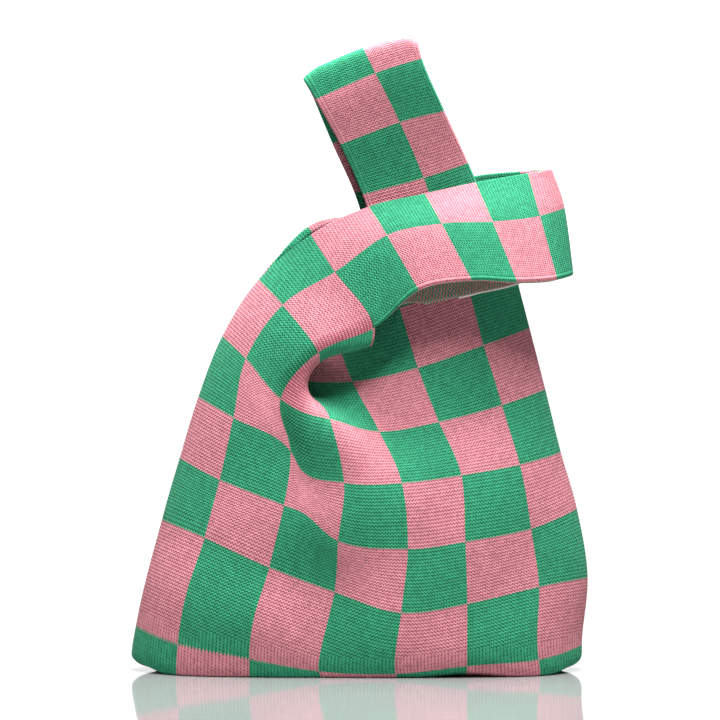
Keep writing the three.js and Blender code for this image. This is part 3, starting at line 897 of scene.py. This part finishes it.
def rim(name, side, material):
    start = LIP_LINE if side == FRONT else SHORT_COLUMNS[1]
    c = np.linspace(start + RIM_CLEAR, LONG_COLUMNS[0] - RIM_CLEAR, RIM_POINTS)
    c = c if side == FRONT else ROUND - c
    r = MOUTH_ROW + RIM_DIAMETER / 2 / ROW_MM
    yarn = twisted(panel_grid(side, c, [r])[0], RIM_DIAMETER, RIM_PITCH, RIM_PLIES)
    return joined(name, yarn, material)


front_rim = rim("front_rim", FRONT, PINK_YARN)
back_rim = rim("back_rim", BACK, PINK_YARN)
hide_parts("mouth_hem_front")
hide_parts("mouth_hem_back")
for piece in (front_rim, back_rim):
    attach(piece, "bag")


# Straps, with their turned hems and the linking seam across the join
STRAP_STEPS = (24, 170)  # across and along
STRAP_BANDS = 2  # strips of the baked picture
HEM_STEPS = (4, 60)
SIDE_HEM_START = 6.5  # by a side seam the turned edge starts below the mouth
HEM_START_SHARE = 0.15  # of its thickness there
HEM_FULL_ROW = MOUTH_ROW + 0.3  # and has its full thickness from here
JOIN_CLEAR = 0.08  # rows between the hems and the linking seam
JOIN_POINTS = 30
SEAM_PITCH = 5.0
SEAM_SETBACK = KNIT / 2 + FIT_GAP + SEAM_DIAMETER / 2  # from the middle of the cloth to its middle
BESIDE = 0.01  # columns or rows to the neighbours that give a place its normal


def strap_flat(grid):
    length = float(np.linalg.norm(np.diff(grid.mean(1), axis=0), axis=1).sum())
    return STRAP_COLUMNS * STRAP_MM * METRES, length * METRES


def make_strap(name, loop):
    first, last = loop.columns
    c = with_edges(first, last, STRAP_STEPS[0], STRAP_MM)
    v = stations(MOUTH_ROW, LOOP_END, STRAP_STEPS[1])
    grid = loop(c, v)
    by_edge = np.minimum(c - first, last - c) * STRAP_MM
    half = np.broadcast_to(rounded(by_edge, KNIT / 2)[None], grid.shape[:2])
    ribbed = last - c if loop is short_loop else np.minimum(c - first, last - c)
    edge = ribbed[None] * STRAP_WALES
    rows = strap_rows(v)
    stitches = (c * STRAP_WALES, (rows * COURSES)[:, None])
    piece = sheet(name, grid, c, v, half, CLOTH, (c, rows), stitches, STRAP_BANDS, edge)
    return piece, strap_flat(grid)


def make_hems(name, loop, flip):
    """The turned edges on the inner face, front and back."""
    first, last = loop.columns
    width = HEM_WIDTH / STRAP_MM
    strips = []
    for k, (start, end) in enumerate(((first, first + width), (last - width, last))):
        c = with_edges(start, end, HEM_STEPS[0], STRAP_MM)
        low = SIDE_HEM_START if start == 0 or end == COLUMNS else MOUTH_ROW
        rows = {"front": (low, JOIN_ROW - JOIN_CLEAR), "back": (JOIN_ROW + JOIN_CLEAR, back_row(low))}
        by_edge = np.minimum(c - start, end - c) * STRAP_MM
        for half_name, ends in rows.items():
            v = with_edges(*ends, HEM_STEPS[1], ROW_MM)
            up = np.minimum(v, front_row(v))
            thick = np.interp(up, (low, HEM_FULL_ROW), (HEM_START_SHARE, 1))[:, None]
            grid = loop(c, v)
            grid = grid - normals_of(grid, c, v) * (KNIT / 2 + thick * HEM_KNIT / 2)[..., None]
            squares = (c + flip, strap_rows(v))
            stitches = (c * STRAP_WALES, (strap_rows(v) * COURSES)[:, None])
            half = rounded(by_edge, HEM_KNIT / 2)[None] * thick
            both = [KNIT_FACE, KNIT_FACE]
            strips.append(sheet(f"{name}_{half_name}_{k}", grid, c, v, half, both, squares, stitches))
    return strips


def inside_line(loop, c, v):
    """A line across a strap's inner face, where the linking seam lies."""
    rows = [v - BESIDE, v, v + BESIDE]
    grid = loop(c, rows)
    normal = normals_of(grid, c, rows)
    return grid[1] - normal[1] * SEAM_SETBACK


# The turned edge of the short handle is knitted on into the next column of the checker.
HANDLES = {
    "short_handle": (short_loop, ("upper", "lower"), GREEN_YARN, 1),
    "long_handle": (long_loop, ("left", "right"), PINK_YARN, 0),
}
# Where each strap starts to leave the bag, and where it has left it
SHORT_START = np.array([-9.2, 0.0, 212.5])
SHORT_HEADING = np.array([0.82, 0.0, 0.567])
SHORT_BENDING = 40  # millimetres of strap that take up the bend
BENDS = {
    "short_handle": (SHORT_START, SHORT_START + SHORT_BENDING * SHORT_HEADING),
    "long_handle": (np.array([42.0, 0.0, 238.0]), np.array([28.0, 0.0, 272.0])),
}
for handle, (loop, edges, yarn, flip) in HANDLES.items():
    stem = handle.split("_")[0]
    strap, flat = make_strap(f"{stem}_strap", loop)
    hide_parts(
        f"{stem}_strap_root_front",
        f"{stem}_strap_root_back",
        f"{handle}_front",
        f"{handle}_back",
    )
    hems = make_hems(f"{stem}_hem", loop, flip)
    names = [f"{handle}_{half}_hem_{edge}" for edge in edges for half in ("front", "back")]
    hem = HEM_WIDTH / STRAP_MM
    c = np.linspace(loop.columns[0] + hem, loop.columns[1] - hem, JOIN_POINTS)
    seam_yarn = twisted(inside_line(loop, c, JOIN_ROW), SEAM_DIAMETER, SEAM_PITCH)
    seam = joined(f"{handle}_join", seam_yarn, yarn)
    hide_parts(f"{handle}_join_seam")
    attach(seam, handle)
    start, end = (tuple(p * METRES) for p in BENDS[handle])
    for strip, node in zip(hems, names):
        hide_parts(node)
        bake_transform(strip)
        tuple(start)
        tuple(end)
    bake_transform(strap)
    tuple(start)
    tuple(end)

# Loose facing under the short handle's front band
FACING_COLUMNS = (1.6, 2.0)
FACING_ROWS = (7.55, 10.1)
FACING_STEPS = (8, 50)
FACING_SAG = 1.6  # hangs lower than its solid
FACING_FULL_ROW = 8.15  # from here on it hangs by its full drop, less and less to its end
BINDING_START = 8.7  # pale yarn along the facing's lower edge, from this row on
BINDING_DIAMETER = 1.4
BINDING_PITCH = 3.4
FACING_SETBACK = KNIT / 2 + FIT_GAP + HEM_KNIT + 2 * FIT_GAP + HEM_KNIT / 2


def make_facing():
    c = with_edges(*FACING_COLUMNS, FACING_STEPS[0], STRAP_MM)
    v = with_edges(*FACING_ROWS, FACING_STEPS[1], ROW_MM)
    grid = short_loop(c, v)
    along = np.interp(v, (FACING_FULL_ROW, FACING_ROWS[1]), (0, 1))
    starting = np.interp(v, (FACING_ROWS[0], FACING_FULL_ROW), (0, 1))
    down = (c - FACING_COLUMNS[0]) / (FACING_COLUMNS[1] - FACING_COLUMNS[0])
    grid[..., 1] += FACING_SETBACK
    drop = (FACING_DROP + FACING_SAG) * starting * np.cos(along * math.pi / 2)
    grid[..., 2] -= drop[:, None] * down[None]
    by_edge = np.minimum(c - c[0], c[-1] - c) * STRAP_MM
    half = np.broadcast_to(rounded(by_edge, HEM_KNIT / 2)[None], grid.shape[:2])
    both = [KNIT_BACK, KNIT_BACK]
    stitches = (c * STRAP_WALES, (v * COURSES)[:, None])
    piece = sheet("short_facing", grid, c, v, half, both, (c, v), stitches)
    return piece, grid[v > BINDING_START, -1]


facing, facing_edge = make_facing()
bound = joined("facing_binding", twisted(facing_edge, BINDING_DIAMETER, BINDING_PITCH), PALE_YARN)
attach(bound, "short_handle")
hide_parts("short_handle_facing")
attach(facing, "short_handle")


# Linking seams inside the bag
def inside_panel(crossings):
    lines = []
    for c, r in crossings:
        columns = [c - BESIDE, c, c + BESIDE]
        rows = [r - BESIDE, r, r + BESIDE]
        grid = panel_grid(FRONT, columns, rows)
        normal = normals_of(grid, columns, rows)
        lines.append(grid[1, 1] - normal[1, 1] * SEAM_SETBACK)
    return np.array(lines)


SEAM_STEPS = 40
SEAM_CLEAR = 0.15  # rows that the yarn stays under the end of a side seam
BASE_SEAM_CLEAR = 1  # columns that it stays from the ends of the base
side_rows = stations(SECOND_ROW, SEAM_TOP_ROW - SEAM_CLEAR, SEAM_STEPS)
base_columns = stations(BASE_SEAM_CLEAR, COLUMNS - BASE_SEAM_CLEAR, SEAM_STEPS)
seams = {
    "side_seam_left": [(0.0, r) for r in side_rows],
    "side_seam_right": [(float(COLUMNS), r) for r in side_rows],
    "base_seam": [(c, 0.0) for c in base_columns],
}
for node, crossings in seams.items():
    seam_yarn = twisted(inside_panel(crossings), SEAM_DIAMETER, SEAM_PITCH)
    piece = joined(f"{node}_yarn", seam_yarn, PINK_YARN)
    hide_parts(node)
    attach(piece, "bag")


# Floor, in metres
FLOOR = 6.0  # half of its side
FLOOR_GAP = 0.0001  # below the bag
FLOOR_GREYS = ((0.3, 0.3, 0.3), (0.33, 0.33, 0.33))
CLOUD_SCALE = 3.0
GRAIN_SCALE = 400.0
GRAIN_BUMP = 0.02


def floor_material():
    n = Nodes("pale_floor")
    colour = n.mix(n.noise(CLOUD_SCALE), *FLOOR_GREYS)
    return n.finish(colour, n.noise(GRAIN_SCALE), GRAIN_BUMP, roughness=0.08, sheen=0.0, gloss=0.5)


corners = [(-FLOOR, -FLOOR, 0), (FLOOR, -FLOOR, 0), (FLOOR, FLOOR, 0), (-FLOOR, FLOOR, 0)]
floor_mesh = bpy.data.meshes.new("floor")
floor_mesh.from_pydata(corners, [], [(0, 1, 2, 3)])
floor_mesh.materials.append(floor_material())
floor = bpy.data.objects.new("floor", floor_mesh)
floor.location.z = -FLOOR_GAP
bpy.context.scene.collection.objects.link(floor)

# Light
# The white room is seen at full strength, and gives little light of its own.
ROOM_SEEN = 1.5
ROOM_LIGHT = 0.06
world = bpy.data.worlds.new("studio")
world.use_nodes = True
room = world.node_tree
background = next(n for n in room.nodes if n.type == "BACKGROUND")
background.inputs["Color"].default_value = (*WHITE, 1.0)
rays = room.nodes.new("ShaderNodeLightPath")
strength = room.nodes.new("ShaderNodeMapRange")
strength.inputs["To Min"].default_value = ROOM_SEEN
strength.inputs["To Max"].default_value = ROOM_LIGHT
room.links.new(rays.outputs["Is Diffuse Ray"], strength.inputs["Value"])
room.links.new(strength.outputs[0], background.inputs["Strength"])
bpy.context.scene.world = world


def area_light(name, place, target, size, power):
    data = bpy.data.lights.new(name, "AREA")
    data.shape = "SQUARE"
    data.size = size
    data.energy = power
    light = bpy.data.objects.new(name, data)
    light.location = place
    light.rotation_euler = (Vector(target) - Vector(place)).to_track_quat("-Z", "Y").to_euler()
    bpy.context.scene.collection.objects.link(light)


area_light("key", place=(0.05, -0.175, 1.05), target=(0.0, -0.05, 0.2), size=0.65, power=36.5)

# Camera
PIXEL = 0.54  # millimetres of the bag in a pixel of the picture
PICTURE = 720  # pixels
ELEVATION = 3.0  # degrees
LENS = 250.0  # millimetres
SENSOR = 36.0
CLIP_END = 50.0  # metres
AIM = np.array([0.0, 0.0, 0.168])
distance = PIXEL * METRES * PICTURE * LENS / SENSOR
angle = math.radians(ELEVATION)
camera_data = bpy.data.cameras.new("camera")
camera_data.lens = LENS
camera_data.sensor_width = SENSOR
camera_data.clip_end = CLIP_END
camera = bpy.data.objects.new("camera", camera_data)
camera.location = AIM + distance * np.array([0.0, -math.cos(angle), math.sin(angle)])
camera.rotation_euler = (math.pi / 2 - angle, 0.0, 0.0)
bpy.context.scene.collection.objects.link(camera)
bpy.context.scene.camera = camera
bpy.context.scene.view_settings.view_transform = "Standard"
